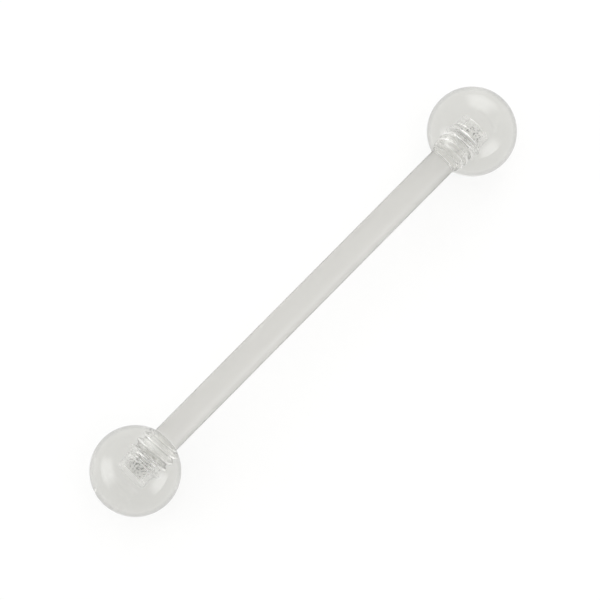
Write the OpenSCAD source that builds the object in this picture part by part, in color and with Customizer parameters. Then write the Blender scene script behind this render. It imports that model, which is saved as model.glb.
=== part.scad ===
// Straight piercing barbell: a flexible bar with a threaded tip at each end,
// and a clear ball that screws onto each tip. Millimetres, +Z up.
// The bar lies along X, the balls rest on Z = 0, and the origin is on that
// surface, under the middle of the bar.

/* [Bar] */
// Diameter of the bar between the balls, which is 14 gauge
bar_d = 1.6; // [1.4:0.1:2]
// Length of bar that shows between the two balls
wear_len = 22; // [8:0.5:40]

/* [Ball] */
// Diameter of each ball
ball_d = 5; // [4.5:0.5:8]
// Width of the flat land that shows round the bar at the mouth of the hole
land_rim = 0.05; // [0.05:0.05:0.3]
// Diameter of the drilled hole past the end of the tip
drill_d = 1.25; // [1:0.05:1.3]
// Depth of the whole hole from the land
hole_depth = 2.6; // [2.2:0.1:3]

/* [Threaded tip] */
// How far the tip reaches into the ball from its land
tip_len = 1.75; // [1.6:0.05:2]
// Length of the thread, measured back from the end of the tip
thread_len = 1.35; // [0.9:0.05:1.4]
// Advance of the thread for one turn
pitch = 0.35; // [0.25:0.05:0.4]
// Radial height of the thread from root to crest
thread_h = 0.15; // [0.1:0.01:0.2]
// Radial gap between the crests and the bore
bore_gap = 0.04; // [0.03:0.01:0.06]

/* [Hidden] */

fine = 128;
ball_r = ball_d / 2;
land_r = bar_d / 2 + land_rim;
// Distance from the centre of a ball to its land
land_x = sqrt(ball_r * ball_r - land_r * land_r);
// The shoulder of the bar bears on the land, so the bore is a little under the bar
shoulder = 0.02;
bore_r = bar_d / 2 - shoulder;
crest_r = bore_r - bore_gap;
root_r = crest_r - thread_h;
neck_len = tip_len - thread_len;
// Gap between the end of the tip and the step down to the drilled hole
end_gap = 0.05;
// Size of the chamfer on the end of the tip
tip_chamfer = 0.26;
// How much the radius of the neck falls from the shoulder to the thread
neck_taper = 0.04;
// Share of a turn that the thread's flat roots take, and its flat crests
flat_share = 0.18;
// How far the thread's core is sunk into the neck, so that the two are one solid
core_sunk = 0.1;
// Facets round the thread, and rings along one turn of it
thread_sides = 24;
rings_per_turn = 8;

// Height of the thread, from 0 at the root to 1 at the crest, at a share t of a turn
function thread_wave(t) =
    let (share = t - floor(t), slope = 1 - abs(2 * share - 1))
    min(1, max(0, (slope - flat_share) / (1 - 2 * flat_share)));

// Radius of the thread at height z along it and at angle a round it
function thread_r(z, a) =
    min(root_r + thread_h * thread_wave(z / pitch - a / 360),
        crest_r - tip_chamfer + (thread_len - z));

// One ring of points at height z. The sunk ring is plain and stays inside the neck
function thread_ring(z) = [
    for (i = [0 : thread_sides - 1])
        let (a = 360 * i / thread_sides, r = z < 0 ? root_r : thread_r(z, a))
        [r * cos(a), r * sin(a), z]
];

// A helical thread of one start on its core, standing on Z = 0
module thread() {
    rings = ceil(thread_len / pitch * rings_per_turn);
    heights = concat([-core_sunk], [for (k = [1 : rings]) thread_len * k / rings]);
    points = [for (z = heights) each thread_ring(z)];
    last = len(heights) - 1;
    sides = [
        for (k = [0 : last - 1])
            for (i = [0 : thread_sides - 1])
                let (j = (i + 1) % thread_sides,
                     low = k * thread_sides,
                     high = low + thread_sides)
                each [[low + i, high + i, high + j], [low + i, high + j, low + j]]
    ];
    near_end = [for (i = [0 : thread_sides - 1]) i];
    far_end = [for (i = [thread_sides - 1 : -1 : 0]) last * thread_sides + i];
    polyhedron(points, concat([near_end], sides, [far_end]), convexity = 8);
}

// Tapered neck and thread at one end of the bar, standing on Z = 0
module tip() {
    cylinder(r1 = crest_r, r2 = crest_r - neck_taper, h = neck_len, $fn = fine);
    translate([0, 0, neck_len]) thread();
}

// The bar between the balls, with a tip at each end
module bar() {
    color([0.84, 0.84, 0.82, 0.8])
    translate([0, 0, ball_r]) {
        rotate([0, 90, 0]) cylinder(d = bar_d, h = wear_len, center = true, $fn = fine);
        for (end = [0, 180])
            rotate([0, 0, end])
                translate([wear_len / 2 - core_sunk, 0, 0])
                    rotate([0, 90, 0]) {
                        cylinder(r = root_r, h = core_sunk * 2, $fn = fine);
                        translate([0, 0, core_sunk]) tip();
                    }
    }
}

// A ball about its own centre, with its land and its hole towards +Z
module ball() {
    difference() {
        sphere(d = ball_d, $fn = fine);
        translate([-ball_r, -ball_r, land_x]) cube(ball_d);
        translate([0, 0, land_x - tip_len - end_gap])
            cylinder(r = bore_r, h = ball_r, $fn = fine);
        translate([0, 0, land_x - hole_depth])
            cylinder(d = drill_d, h = ball_r, $fn = fine);
    }
}

// The ball at one end of the bar, where side is -1 on the left and 1 on the right
module placed_ball(side) {
    color([0.86, 0.87, 0.86, 0.45])
    translate([side * (wear_len / 2 + land_x), 0, ball_r])
        rotate([0, -90 * side, 0]) ball();
}

module ball_left() {
    placed_ball(-1);
}

module ball_right() {
    placed_ball(1);
}

bar();
ball_left();
ball_right();
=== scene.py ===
"""Looks of a straight piercing barbell: a milky flexible bar with a clear ball screwed onto each end.

Lengths are in metres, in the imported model's frame: +X along the bar, +Z up, and the
surface that the two balls rest on at Z = 0. Each piece is turned in mesh code as a lathe
would turn it, with real helical threads on the tips and in the balls.
"""

import logging
import math
from dataclasses import dataclass, field
from enum import Enum
from typing import Any, Callable, Union

import bmesh
import bpy
import numpy as np
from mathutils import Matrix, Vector, noise


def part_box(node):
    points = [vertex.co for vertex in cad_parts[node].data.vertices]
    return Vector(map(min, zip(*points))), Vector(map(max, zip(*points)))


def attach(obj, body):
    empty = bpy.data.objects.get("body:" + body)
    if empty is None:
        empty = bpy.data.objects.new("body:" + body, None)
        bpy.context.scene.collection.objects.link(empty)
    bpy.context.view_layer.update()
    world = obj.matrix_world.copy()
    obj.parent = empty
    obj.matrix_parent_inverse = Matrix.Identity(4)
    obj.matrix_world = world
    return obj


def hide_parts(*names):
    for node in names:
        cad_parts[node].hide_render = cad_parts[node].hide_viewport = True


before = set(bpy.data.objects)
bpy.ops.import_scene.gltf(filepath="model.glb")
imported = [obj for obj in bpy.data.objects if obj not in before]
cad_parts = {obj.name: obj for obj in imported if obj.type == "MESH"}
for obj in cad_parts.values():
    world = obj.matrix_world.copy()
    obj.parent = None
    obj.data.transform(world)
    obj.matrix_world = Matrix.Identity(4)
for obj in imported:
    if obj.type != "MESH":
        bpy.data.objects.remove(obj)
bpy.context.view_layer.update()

MM = 0.001
MICRON = 0.001 * MM
FULL_TURN = 2 * math.pi
LOG = logging.getLogger("barbell")

# The marks on the meshes: where a tool has cut the surface, and where it has left fine swarf
TOOLED = "tooled"
SWARF = "swarf"

# The radius at which the noise on the wall of a hole is read
ROUGH_WALL_RADIUS = 0.6 * MM

WHITE = (1.0, 1.0, 1.0, 1.0)

Colour = tuple[float, float, float, float]
Operand = Union["Signal", float]
Station = Callable[[float], float]


class Side(Enum):
    """The end of the bar that a ball is screwed onto."""

    LEFT = -1
    RIGHT = 1


class Signal:
    """What a shader node gives, such as a number or a colour. Arithmetic on a number adds Math nodes."""

    def __init__(self, shader: "Shader", socket: bpy.types.NodeSocket) -> None:
        """Keeps the socket and the shader that it belongs to."""
        self.shader = shader
        self.socket = socket

    def _math(self, operation: str, first: Operand, second: Operand = 0.0) -> "Signal":
        """Adds one Math node."""
        return self.shader.node("ShaderNodeMath", {"operation": operation}, {0: first, 1: second})

    def __add__(self, other: Operand) -> "Signal":
        """self + other."""
        return self._math("ADD", self, other)

    def __radd__(self, other: Operand) -> "Signal":
        """other + self."""
        return self._math("ADD", other, self)

    def __sub__(self, other: Operand) -> "Signal":
        """self - other."""
        return self._math("SUBTRACT", self, other)

    def __rsub__(self, other: Operand) -> "Signal":
        """other - self."""
        return self._math("SUBTRACT", other, self)

    def __mul__(self, other: Operand) -> "Signal":
        """self * other."""
        return self._math("MULTIPLY", self, other)

    def __rmul__(self, other: Operand) -> "Signal":
        """other * self."""
        return self._math("MULTIPLY", other, self)

    def __truediv__(self, other: Operand) -> "Signal":
        """self / other."""
        return self._math("DIVIDE", self, other)

    def __pow__(self, power: Operand) -> "Signal":
        """self raised to a power."""
        return self._math("POWER", self, power)

    def clamped(self) -> "Signal":
        """self, held between 0 and 1."""
        return self._math("MINIMUM", self._math("MAXIMUM", self, 0.0), 1.0)


class Shader:
    """The node tree of one material, of the world or of a light."""

    def __init__(self, owner: bpy.types.Material | bpy.types.World | bpy.types.Light) -> None:
        """Empties the owner's node tree, ready for new nodes.

        Args:
            owner: The material, world or light that the nodes are for.
        """
        owner.use_nodes = True
        self.tree = owner.node_tree
        self.tree.nodes.clear()

    def node(
        self,
        kind: str,
        settings: dict[str, Any] | None = None,
        inputs: dict[str | int, Any] | None = None,
        output: str | int = 0,
    ) -> Signal:
        """Adds a node of any type.

        Args:
            kind: The node's type, such as ShaderNodeTexNoise.
            settings: What is set on the node before its sockets, such as a Math node's operation.
            inputs: A number, colour or Signal for each input socket, by name or place.
            output: The output that the result stands for, by name or place.

        Returns:
            The chosen output.
        """
        made = self.tree.nodes.new(kind)
        for name, value in (settings or {}).items():
            setattr(made, name, value)
        for name, value in (inputs or {}).items():
            if isinstance(value, Signal):
                self.tree.links.new(value.socket, made.inputs[name])
            else:
                made.inputs[name].default_value = value
        return Signal(self, made.outputs[output])

    def place(self, stretch: tuple[float, float, float] = (1.0, 1.0, 1.0)) -> Signal:
        """The point on the surface in the piece's own frame.

        Args:
            stretch: A factor for each axis, under 1 to draw a texture out along it.

        Returns:
            The point, as a vector.
        """
        point = self.node("ShaderNodeTexCoord", output="Object")
        return self.node("ShaderNodeVectorMath", {"operation": "MULTIPLY"}, {0: point, 1: stretch})

    def noise(self, point: Signal, grain: float, detail: float = 3.0) -> Signal:
        """Soft noise from 0 to 1.

        Args:
            point: Where it is read.
            grain: The size of its blotches, in metres.
            detail: How many finer layers it has.

        Returns:
            The noise.
        """
        return self.node(
            "ShaderNodeTexNoise", inputs={"Vector": point, "Scale": 1.0 / grain, "Detail": detail}
        )

    def mix(self, share: Operand, first: Any, second: Any) -> Signal:
        """A mix of two colours.

        Args:
            share: How much of the second colour there is.
            first: The colour where share is 0.
            second: The colour where share is 1.

        Returns:
            The mixed colour.
        """
        settings = {"data_type": "RGBA", "blend_type": "MIX"}
        return self.node("ShaderNodeMix", settings, {0: share, 6: first, 7: second}, 2)

    def mark(self, name: str) -> Signal:
        """One of the mesh's marks, from 0 to 1."""
        return self.node("ShaderNodeAttribute", {"attribute_name": name}, output="Fac")

    def edge(self, start: float) -> Signal:
        """How close the surface is to being seen edge-on.

        Args:
            start: Where it begins, from 0 for a surface seen square-on to 1 for its very edge.

        Returns:
            0 up to start, rising to 1 at the very edge.
        """
        facing = self.node("ShaderNodeLayerWeight", inputs={"Blend": 0.5}, output="Facing")
        return ((facing - start) / (1.0 - start)).clamped()

    def bump(self, height: Signal, depth: float) -> Signal:
        """A surface normal that follows a height.

        Args:
            height: The height, from 0 to 1.
            depth: The real depth that a height of 1 stands for, in metres.

        Returns:
            The normal.
        """
        return self.node("ShaderNodeBump", inputs={"Height": height, "Distance": depth, "Strength": 1.0})

    def surface(self, **inputs: Any) -> None:
        """Ends the material in one Principled shader.

        Args:
            inputs: Its sockets, with underscores for the spaces in their names.
        """
        sockets = {name.replace("_", " "): value for name, value in inputs.items()}
        shader = self.node("ShaderNodeBsdfPrincipled", inputs=sockets)
        self.node_end("ShaderNodeOutputMaterial", shader)

    def node_end(self, kind: str, shader: Signal) -> None:
        """Links a shader to the tree's output node.

        Args:
            kind: The output node's type.
            shader: What the output shows.
        """
        end = self.tree.nodes.new(kind)
        self.tree.links.new(shader.socket, end.inputs["Surface"])


@dataclass(frozen=True)
class ClearAcrylic:
    """Cast acrylic, polished outside and left a little dull in the hole by the drill and the tap, with
    painted shade darkening its colour where it is seen edge-on.
    """

    name: str = "clear_acrylic"
    polished_tint: Colour = (0.75, 0.747, 0.719, 1.0)
    cloudy_tint: Colour = (0.735, 0.732, 0.704, 1.0)
    tooled_tint: Colour = (0.99, 0.99, 0.986, 1.0)
    dusty_tint: Colour = (0.985, 0.985, 0.975, 1.0)
    speck_tint: Colour = (0.03, 0.03, 0.03, 1.0)
    speck_grain: float = 0.07 * MM
    speck_floor: float = 0.59
    speck_sharpness: float = 60.0
    dusty_roughness: float = 0.42
    # Painted shade: the tint goes nearly black where the surface is seen edge-on, painting the dark rim
    # round the ball.
    painted_rim_shade_tint: Colour = (0.01, 0.01, 0.01, 1.0)
    painted_rim_shade_start: float = 0.56
    index: float = 1.49
    polish: float = 0.012
    tooled_roughness: float = 0.06
    least_roughness: float = 0.5
    cloud_grain: float = 1.6 * MM
    scuff_grain: float = 0.12 * MM
    scuff_layers: float = 5.0
    scuff_depth: float = 0.15 * MICRON
    speck_layers: float = 1.0
    tool_grain: float = 0.03 * MM
    tool_stretch: tuple[float, float, float] = (3.0, 1.0, 1.0)
    tool_depth: float = 0.2 * MICRON

    def material(self) -> bpy.types.Material:
        """Builds the material.

        Returns:
            Clear acrylic that reads where the tools and the swarf have been from the mesh's marks.
        """
        made = bpy.data.materials.new(self.name)
        shader = Shader(made)
        tooled = shader.mark(TOOLED)
        swarf = shader.mark(SWARF)
        clouds = shader.noise(shader.place(), self.cloud_grain)
        scuffs = shader.noise(shader.place(), self.scuff_grain, self.scuff_layers)
        chatter = shader.noise(shader.place(self.tool_stretch), self.tool_grain)
        clear = shader.mix(clouds, self.polished_tint, self.cloudy_tint)
        # Painted shade: the dark rim tint is mixed into the clear tint where the surface turns edge-on.
        tint_with_painted_rim_shade = shader.mix(shader.edge(self.painted_rim_shade_start), clear, self.painted_rim_shade_tint)
        speckle = shader.noise(shader.place(), self.speck_grain, self.speck_layers)
        specks = ((speckle - self.speck_floor) * self.speck_sharpness).clamped()
        dusty = shader.mix(swarf, self.tooled_tint, self.dusty_tint)
        cut = shader.mix(specks * swarf, dusty, self.speck_tint)
        tint = shader.mix(tooled, tint_with_painted_rim_shade, cut)
        polish = self.polish * (self.least_roughness + scuffs)
        dullness = self.tooled_roughness + swarf * self.dusty_roughness
        roughness = polish + tooled * dullness * (self.least_roughness + chatter)
        height = (1.0 - tooled) * scuffs * (self.scuff_depth / self.tool_depth) + tooled * chatter
        shader.surface(
            Base_Color=tint,
            Roughness=roughness,
            IOR=self.index,
            Transmission_Weight=1.0,
            Normal=shader.bump(height, self.tool_depth),
        )
        return made


@dataclass(frozen=True)
class MilkyPlastic:
    """Flexible plastic that lets a soft, milky light through, and is clearer where it has been cut, with
    painted shade darkening its colour where it is seen edge-on.
    """

    name: str = "milky_flexible_plastic"
    tint: Colour = (0.70, 0.692, 0.665, 1.0)
    dense_tint: Colour = (0.68, 0.672, 0.645, 1.0)
    cut_tint: Colour = (0.95, 0.95, 0.942, 1.0)
    # Painted shade: the cut tips' tint goes dark where they are seen edge-on, painting dark outlines round
    # the threads.
    cut_painted_rim_shade_tint: Colour = (0.03, 0.03, 0.03, 1.0)
    cut_painted_rim_shade_start: float = 0.48
    # Painted shade: the body's tint darkens where the bar is seen edge-on, painting its dark outline.
    painted_rim_shade_tint: Colour = (0.12, 0.119, 0.115, 1.0)
    painted_rim_shade_start: float = 0.58
    index: float = 1.48
    gloss_roughness: float = 0.45
    least_roughness: float = 0.75
    mottle_roughness: float = 0.5
    cut_roughness: float = 0.04
    mottle_grain: float = 0.7 * MM
    mottle_stretch: tuple[float, float, float] = (0.5, 1.0, 1.0)
    streak_grain: float = 0.06 * MM
    streak_stretch: tuple[float, float, float] = (0.04, 1.0, 1.0)
    streak_depth: float = 0.3 * MICRON

    def material(self) -> bpy.types.Material:
        """Builds the material.

        Returns:
            Milky plastic with faint streaks along the bar, as extrusion leaves them.
        """
        made = bpy.data.materials.new(self.name)
        shader = Shader(made)
        mottle = shader.noise(shader.place(self.mottle_stretch), self.mottle_grain)
        streaks = shader.noise(shader.place(self.streak_stretch), self.streak_grain)
        body = shader.mix(mottle, self.tint, self.dense_tint)
        # Painted shade: dark rims are mixed into the body's tint and the cut tips' tint where the surface
        # turns edge-on.
        tint_with_painted_rim_shade = shader.mix(shader.edge(self.painted_rim_shade_start), body, self.painted_rim_shade_tint)
        cut = shader.mark(TOOLED)
        cut_tint_with_painted_rim_shade = shader.mix(shader.edge(self.cut_painted_rim_shade_start), self.cut_tint, self.cut_painted_rim_shade_tint)
        skin = self.gloss_roughness * (self.least_roughness + self.mottle_roughness * mottle)
        shader.surface(
            Base_Color=shader.mix(cut, tint_with_painted_rim_shade, cut_tint_with_painted_rim_shade),
            Roughness=skin + cut * (self.cut_roughness - skin),
            IOR=self.index,
            Transmission_Weight=1.0,
            Normal=shader.bump(streaks, self.streak_depth),
        )
        return made


@dataclass(frozen=True)
class PaleBoard:
    """Matt translucent white board, which glows evenly as a light table does."""

    name: str = "pale_board"
    colour: Colour = (0.20, 0.20, 0.198, 1.0)
    fleck_colour: Colour = (0.193, 0.193, 0.191, 1.0)
    glow_colour: Colour = (1.0, 1.0, 0.995, 1.0)
    glow: float = 0.77
    specular_level: float = 0.1
    roughness: float = 0.9
    fleck_grain: float = 3.0 * MM

    def material(self) -> bpy.types.Material:
        """Builds the material.

        Returns:
            White board that glows evenly, with a faint variation in its own colour.
        """
        made = bpy.data.materials.new(self.name)
        shader = Shader(made)
        flecks = shader.noise(shader.place(), self.fleck_grain)
        shader.surface(
            Base_Color=shader.mix(flecks, self.colour, self.fleck_colour),
            Roughness=self.roughness,
            Specular_IOR_Level=self.specular_level,
            Emission_Color=self.glow_colour,
            Emission_Strength=self.glow,
        )
        return made


@dataclass(frozen=True)
class ThreadForm:
    """A right-handed M1.6 thread, which fills the ball's thread but for a gap over the tip's crests."""

    pitch: float = 0.35 * MM
    middle_radius: float = 0.70 * MM
    sharp_height: float = 0.303 * MM
    tip_root: float = 0.643 * MM
    tip_crest: float = 0.765 * MM
    hole_crest: float = 0.64 * MM
    hole_root: float = 0.785 * MM
    press: float = 3 * MICRON
    rings_per_turn: int = 26

    def _sharp(self, station: np.ndarray, angle: np.ndarray) -> np.ndarray:
        """The radius of the sharp V that both threads are cut to.

        Args:
            station: The place along the bar's axis.
            angle: The angle round the axis, by the right-hand rule about +X.

        Returns:
            The radius at each place and angle.
        """
        turn = station / self.pitch - angle / FULL_TURN
        rise = 1 - np.abs(2 * (turn - np.floor(turn)) - 1)
        return self.middle_radius + self.sharp_height * (rise - 0.5)

    def tip(self, station: np.ndarray, angle: np.ndarray) -> np.ndarray:
        """The radius of the thread on a tip of the bar."""
        return np.clip(self._sharp(station, angle), self.tip_root, self.tip_crest)

    def hole(self, station: np.ndarray, angle: np.ndarray) -> np.ndarray:
        """The radius of the thread in a ball, which presses lightly into the tip's flanks and roots."""
        return np.clip(self._sharp(station, angle) - self.press, self.hole_crest, self.hole_root)

    @property
    def ring_gap(self) -> float:
        """The distance between the rings of a mesh that shows the thread."""
        return self.pitch / self.rings_per_turn


class Turning:
    """A closed surface turned round the bar's axis, ring by ring, from one end to the other."""

    def __init__(self, sides: int, axis_height: float) -> None:
        """Starts an empty surface.

        Args:
            sides: The number of corners of each ring.
            axis_height: The height of the axis over the surface that the balls rest on.
        """
        self.angles = np.arange(sides) * FULL_TURN / sides
        self.axis_height = axis_height
        self.rings: list[np.ndarray] = []
        self.marks: dict[str, list[float]] = {TOOLED: [], SWARF: []}

    def ring(
        self,
        station: float,
        radius: float | np.ndarray,
        tooled: float = 0.0,
        swarf: float = 0.0,
    ) -> None:
        """Adds one ring.

        Args:
            station: The place along the axis.
            radius: The ring's radius, or one for each of its corners.
            tooled: 1 where a tool has left its marks, and 0 where the surface is polished.
            swarf: How much fine swarf the tool has left there, from 0 to 1.
        """
        r = np.broadcast_to(radius, self.angles.shape)
        x = np.full(self.angles.shape, station)
        z = self.axis_height + r * np.sin(self.angles)
        self.rings.append(np.stack([x, r * np.cos(self.angles), z], axis=1))
        self.marks[TOOLED].append(tooled)
        self.marks[SWARF].append(swarf)

    def piece(self, name: str, first_pole: float, last_pole: float) -> bpy.types.Object:
        """Closes the surface and makes it an object.

        Args:
            name: The object's name.
            first_pole: The place along the axis of the point that closes the first ring.
            last_pole: The same for the last ring.

        Returns:
            The new object, smooth all over, with an attribute for each kind of mark.
        """
        sides = len(self.angles)
        count = len(self.rings)
        poles = [[first_pole, 0.0, self.axis_height], [last_pole, 0.0, self.axis_height]]
        points = np.concatenate([*self.rings, np.array(poles)])
        faces: list[tuple[int, ...]] = []
        for low in range(0, (count - 1) * sides, sides):
            for i in range(sides):
                j = (i + 1) % sides
                faces.append((low + i, low + j, low + sides + j, low + sides + i))
        last_ring = (count - 1) * sides
        for i in range(sides):
            j = (i + 1) % sides
            faces.append((count * sides, j, i))
            faces.append((count * sides + 1, last_ring + i, last_ring + j))
        mesh = bpy.data.meshes.new(name)
        mesh.from_pydata(points.tolist(), [], faces)
        self._face_outward(mesh)
        mesh.shade_smooth()
        for mark, levels in self.marks.items():
            values = np.repeat(levels, sides).tolist() + [levels[0], levels[-1]]
            mesh.attributes.new(mark, "FLOAT", "POINT").data.foreach_set("value", values)
        made = bpy.data.objects.new(name, mesh)
        bpy.context.scene.collection.objects.link(made)
        return made

    def _face_outward(self, mesh: bpy.types.Mesh) -> None:
        """Turns every face outward.

        Args:
            mesh: A closed mesh whose faces agree with each other.
        """
        work = bmesh.new()
        work.from_mesh(mesh)
        if work.calc_volume(signed=True) < 0:
            bmesh.ops.reverse_faces(work, faces=work.faces)
        work.to_mesh(mesh)
        work.free()


def smooth_step(value: float | np.ndarray) -> float | np.ndarray:
    """A soft rise from 0 at 0 to 1 at 1.

    Args:
        value: Where the rise is read.

    Returns:
        The height of the rise there.
    """
    held = np.clip(value, 0, 1)
    return held * held * (3 - 2 * held)


def roughness_at(station: float, angles: np.ndarray, grain: float, seed: float) -> np.ndarray:
    """Coherent noise round one ring of a hole.

    Args:
        station: The ring's place along the axis.
        angles: The angle of each of its corners.
        grain: The size of the bumps, in metres.
        seed: Tells one hole from another.

    Returns:
        One number from -1 to 1 for each corner.
    """
    reach = ROUGH_WALL_RADIUS / grain
    points = [Vector((station / grain, reach * math.cos(a), reach * math.sin(a) + seed)) for a in angles]
    return np.array([noise.noise(p) for p in points])


@dataclass
class Ball:
    """A clear ball with a flat polished land, a counterbore for the neck, a thread and a drilled end."""

    side: Side
    finish: bpy.types.Material
    thread: ThreadForm
    radius: float = 2.5 * MM
    land_radius: float = 0.85 * MM
    edge_fillet: float = 0.03 * MM
    mouth_fillet: float = 0.004 * MM
    counterbore_radius: float = 0.775 * MM
    counterbore_depth: float = 0.37 * MM
    tap_depth: float = 1.88 * MM
    drill_radius: float = 0.625 * MM
    hole_depth: float = 2.6 * MM
    corner_fillet: float = 0.05 * MM
    chip_height: float = 0.010 * MM
    chip_grain: float = 0.035 * MM
    swarf_depth: float = 2.05 * MM
    swarf_reach: float = 0.9 * MM
    floor_shares: tuple[float, ...] = (0.75, 0.5, 0.25, 0.1)
    sides: int = 192
    sphere_rings: int = 120
    fillet_rings: int = 6

    @property
    def node(self) -> str:
        """The CAD node that the ball stands for, which is also its body."""
        return f"ball_{self.side.name.lower()}"

    @property
    def land_station(self) -> float:
        """The place of the land along the bar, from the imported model."""
        low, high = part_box(self.node)
        return low.x if self.side is Side.RIGHT else high.x

    def build(self) -> bpy.types.Object:
        """Turns the ball and dresses it.

        Returns:
            The finished ball, riding on its own body.
        """
        work = Turning(self.sides, self.radius)
        land = math.sqrt(self.radius**2 - self.land_radius**2)
        centre = self.land_station + self.side.value * land

        def station(depth: float) -> float:
            """The place along the bar of a depth under the land."""
            return centre - self.side.value * (land - depth)

        self._turn_sphere(work, station, land)
        self._bore_hole(work, station)
        pole = centre + self.side.value * self.radius
        piece = work.piece(f"clear_{self.node}", pole, station(self.hole_depth))
        return self._dress(piece)

    def _turn_sphere(self, work: Turning, station: Station, land: float) -> None:
        """Turns the outside, from the far pole over the land to the mouth of the hole.

        Args:
            work: The surface that the rings are added to.
            station: Gives the place along the bar of a depth under the land.
            land: The distance from the ball's centre to its land.
        """
        fillet_height = land - self.edge_fillet
        fillet_radius = math.sqrt((self.radius - self.edge_fillet) ** 2 - fillet_height**2)
        edge_angle = math.atan2(fillet_radius, fillet_height)
        for k in range(1, self.sphere_rings + 1):
            angle = math.pi - (math.pi - edge_angle) * k / self.sphere_rings
            work.ring(station(land - self.radius * math.cos(angle)), self.radius * math.sin(angle))
        for k in range(1, self.fillet_rings + 1):
            angle = edge_angle * (1 - k / self.fillet_rings)
            depth = self.edge_fillet * (1 - math.cos(angle))
            work.ring(station(depth), fillet_radius + self.edge_fillet * math.sin(angle))
        mouth = self.counterbore_radius + self.mouth_fillet
        work.ring(station(0.0), (fillet_radius + mouth) / 2)
        for k in range(self.fillet_rings + 1):
            angle = math.pi / 2 * k / self.fillet_rings
            depth = self.mouth_fillet * (1 - math.cos(angle))
            radius = mouth - self.mouth_fillet * math.sin(angle)
            work.ring(station(depth), radius, k / self.fillet_rings)

    def _bore_hole(self, work: Turning, station: Station) -> None:
        """Cuts the counterbore, the tapped stretch and the drilled end, down to the floor of the hole.

        Args:
            work: The surface that the rings are added to.
            station: Gives the place along the bar of a depth under the land.
        """
        wall_end = self.hole_depth - self.corner_fillet
        count = round((wall_end - self.mouth_fillet) / self.thread.ring_gap)
        for k in range(1, count + 1):
            depth = self.mouth_fillet + (wall_end - self.mouth_fillet) * k / count
            radius = self._wall_radius(depth, station(depth), work.angles)
            work.ring(station(depth), radius, 1.0, self._swarf_at(depth))
        for k in range(1, self.fillet_rings + 1):
            angle = math.pi / 2 * k / self.fillet_rings
            radius = self.drill_radius - self.corner_fillet * (1 - math.cos(angle))
            depth = wall_end + self.corner_fillet * math.sin(angle)
            work.ring(station(depth), radius, 1.0, self._swarf_at(depth))
        for share in self.floor_shares:
            chips = roughness_at(station(self.hole_depth), work.angles * share, self.chip_grain, share)
            radius = (self.drill_radius - self.corner_fillet) * share + chips * self.chip_height
            work.ring(station(self.hole_depth), radius, 1.0)

    def _swarf_at(self, depth: float) -> float:
        """How much swarf the tap has left at a depth under the land, from 0 to 1."""
        return float(smooth_step(1 - abs(depth - self.swarf_depth) / self.swarf_reach))

    def _wall_radius(self, depth: float, place: float, angles: np.ndarray) -> np.ndarray:
        """The radius of the hole's wall.

        Args:
            depth: The depth under the land.
            place: The same place along the bar.
            angles: The angles at which the radius is wanted.

        Returns:
            The radius at each angle.
        """
        form = self.thread
        tapped = form.hole(place, angles)
        run_in = smooth_step((depth - self.counterbore_depth) / form.pitch)
        run_out = smooth_step((depth - self.tap_depth) / form.pitch)
        opened = self.counterbore_radius + (tapped - self.counterbore_radius) * run_in
        chips = roughness_at(place, angles, self.chip_grain, float(self.side.value))
        drilled = self.drill_radius + chips * self.chip_height
        return opened + (drilled - opened) * run_out

    def _dress(self, piece: bpy.types.Object) -> bpy.types.Object:
        """Gives the ball its finish and its place in the frame.

        Args:
            piece: The turned ball.

        Returns:
            The same ball.
        """
        piece.data.materials.append(self.finish)
        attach(piece, self.node)
        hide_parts(self.node)
        return piece


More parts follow.
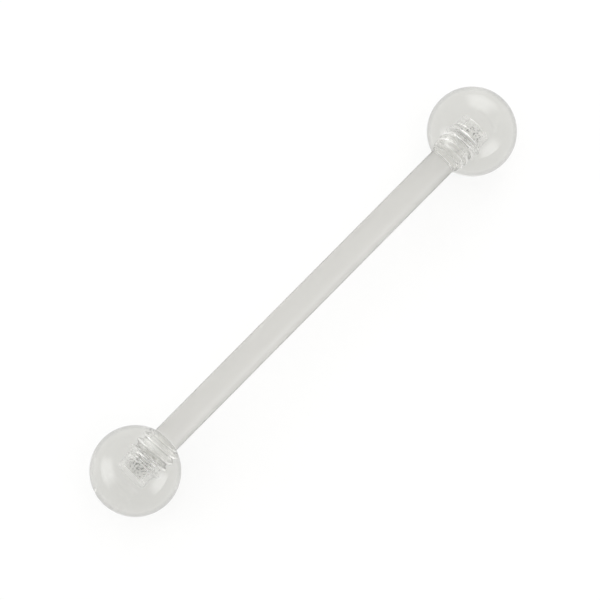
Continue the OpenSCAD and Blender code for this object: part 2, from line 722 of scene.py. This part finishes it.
@dataclass
class Bar:
    """The flexible bar, with a plain neck, a thread and a chamfered end on each tip."""

    finish: bpy.types.Material
    thread: ThreadForm
    radius: float = 0.8 * MM
    axis_height: float = 2.5 * MM
    neck_length: float = 0.40 * MM
    neck_radius: float = 0.778 * MM
    end_chamfer: float = 0.27 * MM
    end_fillet: float = 0.03 * MM
    shoulder_fillet: float = 0.004 * MM
    waver: float = 0.003 * MM
    oval_wave: float = 2.1 * MM
    bend_wave: float = 3.7 * MM
    clear_reach: float = 0.10 * MM
    sides: int = 160
    shank_rings: int = 80
    fillet_rings: int = 4

    def build(self) -> bpy.types.Object:
        """Turns the bar and dresses it.

        Returns:
            The finished bar, riding on its own body.
        """
        low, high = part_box("bar")
        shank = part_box("ball_right")[0].x
        work = Turning(self.sides, self.axis_height)
        for station in self._tip_stations(high.x, shank)[::-1]:
            self._tip_ring(work, -station, high.x, shank)
        for k in range(self.shank_rings + 1):
            station = (shank - self.clear_reach) * (2 * k / self.shank_rings - 1)
            work.ring(station, self._shank_radius(station, work.angles))
        for station in self._tip_stations(high.x, shank):
            self._tip_ring(work, station, high.x, shank)
        piece = work.piece("milky_bar", low.x, high.x)
        return self._dress(piece)

    def _tip_stations(self, end: float, shank: float) -> list[float]:
        """The places of the rings of one tip, from its shoulder outward.

        Args:
            end: The distance from the bar's middle to its end.
            shank: The distance from the bar's middle to a shoulder.

        Returns:
            The distances of the rings from the bar's middle.
        """
        steps = range(1, self.fillet_rings + 1)
        clearing = [shank - self.clear_reach * (1 - k / (2 * self.fillet_rings)) for k in steps]
        shoulder = [shank - self.shoulder_fillet * (1 - k / self.fillet_rings) for k in steps]
        count = round((end - shank) / self.thread.ring_gap)
        return clearing + shoulder + [shank + (end - shank) * k / count for k in range(1, count + 1)]

    def _shank_radius(self, station: float, angles: np.ndarray) -> np.ndarray:
        """The radius of the shank, which wavers a little as soft plastic does.

        Args:
            station: The place along the bar.
            angles: The angles at which the radius is wanted.

        Returns:
            The radius at each angle, never over the bar's own.
        """
        waves = np.sin(angles * 2 + station / self.oval_wave) + np.sin(angles + station / self.bend_wave)
        return self.radius - self.waver * (2 + waves) / 4

    def _cut_at(self, reach: float, shank: float) -> float:
        """How much of the skin is cut away at a distance from the bar's middle, from 0 to 1."""
        return float(smooth_step((reach - shank + self.clear_reach) / self.clear_reach))

    def _tip_ring(self, work: Turning, station: float, end: float, shank: float) -> None:
        """Adds one ring of a tip.

        Args:
            work: The surface that the ring is added to.
            station: The place along the bar, negative on the left tip.
            end: The distance from the bar's middle to its end.
            shank: The distance from the bar's middle to a shoulder.
        """
        form = self.thread
        reach = abs(station)
        past_neck = smooth_step((reach - shank - self.neck_length) / form.pitch)
        cut = form.tip(station, work.angles)
        radius = self.neck_radius + (cut - self.neck_radius) * past_neck
        into_end = end - reach
        into_fillet = max(0.0, self.end_fillet - into_end)
        corner = self.end_fillet - math.sqrt(max(0.0, self.end_fillet**2 - into_fillet**2))
        radius = np.minimum(radius, form.tip_crest - self.end_chamfer + into_end - corner)
        if reach < shank:
            share = max(0.0, (reach - shank + self.shoulder_fillet) / self.shoulder_fillet)
            drop = self.shoulder_fillet * (1 - math.sqrt(1 - share * share))
            radius = np.minimum(self._shank_radius(station, work.angles), self.radius - drop)
        elif reach == shank:
            radius = self.radius - self.shoulder_fillet
        work.ring(station, radius, self._cut_at(reach, shank))

    def _dress(self, piece: bpy.types.Object) -> bpy.types.Object:
        """Gives the bar its finish and its place in the frame.

        Args:
            piece: The turned bar.

        Returns:
            The same bar.
        """
        piece.data.materials.append(self.finish)
        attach(piece, "bar")
        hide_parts("bar")
        return piece


@dataclass(frozen=True)
class SoftPanel:
    """One upright soft light beside the barbell, which fades towards its edges."""

    name: str
    bearing: float
    width: float
    height: float
    radiance: float
    distance: float = 62 * MM
    lift: float = 1 * MM
    soft_share: float = 0.75
    corner_power: float = 4.0

    def build(self) -> bpy.types.Object:
        """Makes the panel, facing the barbell.

        Returns:
            The light's object, which the camera doesn't see.
        """
        lamp = bpy.data.lights.new(self.name, "AREA")
        lamp.shape = "RECTANGLE"
        lamp.size = self.width
        lamp.size_y = self.height
        lamp.energy = self.radiance * math.pi * self.width * self.height
        self._soften(Shader(lamp))
        made = bpy.data.objects.new(self.name, lamp)
        bearing = math.radians(self.bearing)
        outward = Vector((math.cos(bearing), math.sin(bearing), 0.0))
        made.location = outward * self.distance + Vector((0.0, 0.0, self.lift + self.height / 2))
        made.rotation_mode = "QUATERNION"
        made.rotation_quaternion = (-outward).to_track_quat("-Z", "Y")
        made.visible_camera = False
        bpy.context.scene.collection.objects.link(made)
        return made

    def _soften(self, shader: Shader) -> None:
        """Makes the panel round-cornered, and dimmer towards its edges.

        Args:
            shader: The light's node tree.
        """
        place = shader.node("ShaderNodeNewGeometry", output="Parametric")
        split = {0: place}
        across = 2.0 * shader.node("ShaderNodeSeparateXYZ", inputs=split, output="X") - 1.0
        up = 2.0 * shader.node("ShaderNodeSeparateXYZ", inputs=split, output="Y") - 1.0
        reach = (across**self.corner_power + up**self.corner_power) ** (1.0 / self.corner_power)
        rise = ((1.0 - reach) / self.soft_share).clamped()
        strength = rise * rise * (3.0 - 2.0 * rise)
        glow = shader.node("ShaderNodeEmission", inputs={"Strength": strength})
        shader.node_end("ShaderNodeOutputLight", glow)


@dataclass
class Studio:
    """The board under the barbell, the light on it and the camera over it.

    Light is followed for many bounces, because much of it is caught under the balls' surface.
    """

    board_radius: float = 1500 * MM
    board_sides: int = 96
    bounces: int = 64
    dome_strength: float = 1.0
    board: PaleBoard = field(default_factory=PaleBoard)
    azimuth: float = -46.23
    elevation: float = 75.0
    camera_distance: float = 235.95 * MM
    lens: float = 258.04
    near_clip: float = 1 * MM
    far_clip: float = 10.0
    aim: Vector = field(default_factory=lambda: Vector((-0.227 * MM, 0.193 * MM, 2.5 * MM)))
    panels: tuple[SoftPanel, ...] = (
        SoftPanel("panel_far", 20.0, width=78 * MM, height=80 * MM, radiance=2.3, lift=-10 * MM),
        SoftPanel("panel_left", 145.0, width=78 * MM, height=60 * MM, radiance=2.6, lift=-10 * MM),
        SoftPanel("panel_near", -85.0, width=78 * MM, height=70 * MM, radiance=3.0, lift=-20 * MM),
    )

    def build(self) -> None:
        """Sets up the board, the dome, the panels, the camera and how the picture shows light."""
        self._lay_board()
        self._hang_dome()
        for panel in self.panels:
            panel.build()
            LOG.info("light %s", panel.name)
        self._place_camera()
        scene = bpy.context.scene
        scene.view_settings.view_transform = "Standard"
        scene.cycles.max_bounces = self.bounces
        scene.cycles.transmission_bounces = self.bounces
        scene.cycles.glossy_bounces = self.bounces

    def _lay_board(self) -> None:
        """Lays the pale board that the balls rest on."""
        corners = [k * FULL_TURN / self.board_sides for k in range(self.board_sides)]
        points = [(self.board_radius * math.cos(a), self.board_radius * math.sin(a), 0.0) for a in corners]
        mesh = bpy.data.meshes.new("board")
        mesh.from_pydata(points, [], [list(range(self.board_sides))])
        mesh.materials.append(self.board.material())
        board = bpy.data.objects.new("board", mesh)
        bpy.context.scene.collection.objects.link(board)

    def _hang_dome(self) -> None:
        """Lights the scene with an even white dome."""
        world = bpy.data.worlds.new("dome")
        bpy.context.scene.world = world
        shader = Shader(world)
        light = shader.node("ShaderNodeBackground", inputs={"Color": WHITE, "Strength": self.dome_strength})
        shader.node_end("ShaderNodeOutputWorld", light)

    def _place_camera(self) -> None:
        """Places the camera at the photograph's angle."""
        lens = bpy.data.cameras.new("camera")
        lens.lens = self.lens
        lens.clip_start = self.near_clip
        lens.clip_end = self.far_clip
        camera = bpy.data.objects.new("camera", lens)
        turn = math.radians(self.azimuth)
        rise = math.radians(self.elevation)
        level = math.cos(rise)
        back = Vector((math.sin(turn) * level, -math.cos(turn) * level, math.sin(rise)))
        camera.location = self.aim + back * self.camera_distance
        camera.rotation_mode = "QUATERNION"
        camera.rotation_quaternion = (-back).to_track_quat("-Z", "Y")
        bpy.context.scene.collection.objects.link(camera)
        bpy.context.scene.camera = camera


def main() -> None:
    """Builds the studio and the three pieces, and reports each."""
    logging.basicConfig(level=logging.INFO, format="%(name)s: %(message)s")
    Studio().build()
    thread = ThreadForm()
    acrylic = ClearAcrylic().material()
    pieces = [Bar(MilkyPlastic().material(), thread).build()]
    pieces += [Ball(side, acrylic, thread).build() for side in Side]
    for piece in pieces:
        LOG.info("%s: %d faces", piece.name, len(piece.data.polygons))


if __name__ == "__main__":
    main()
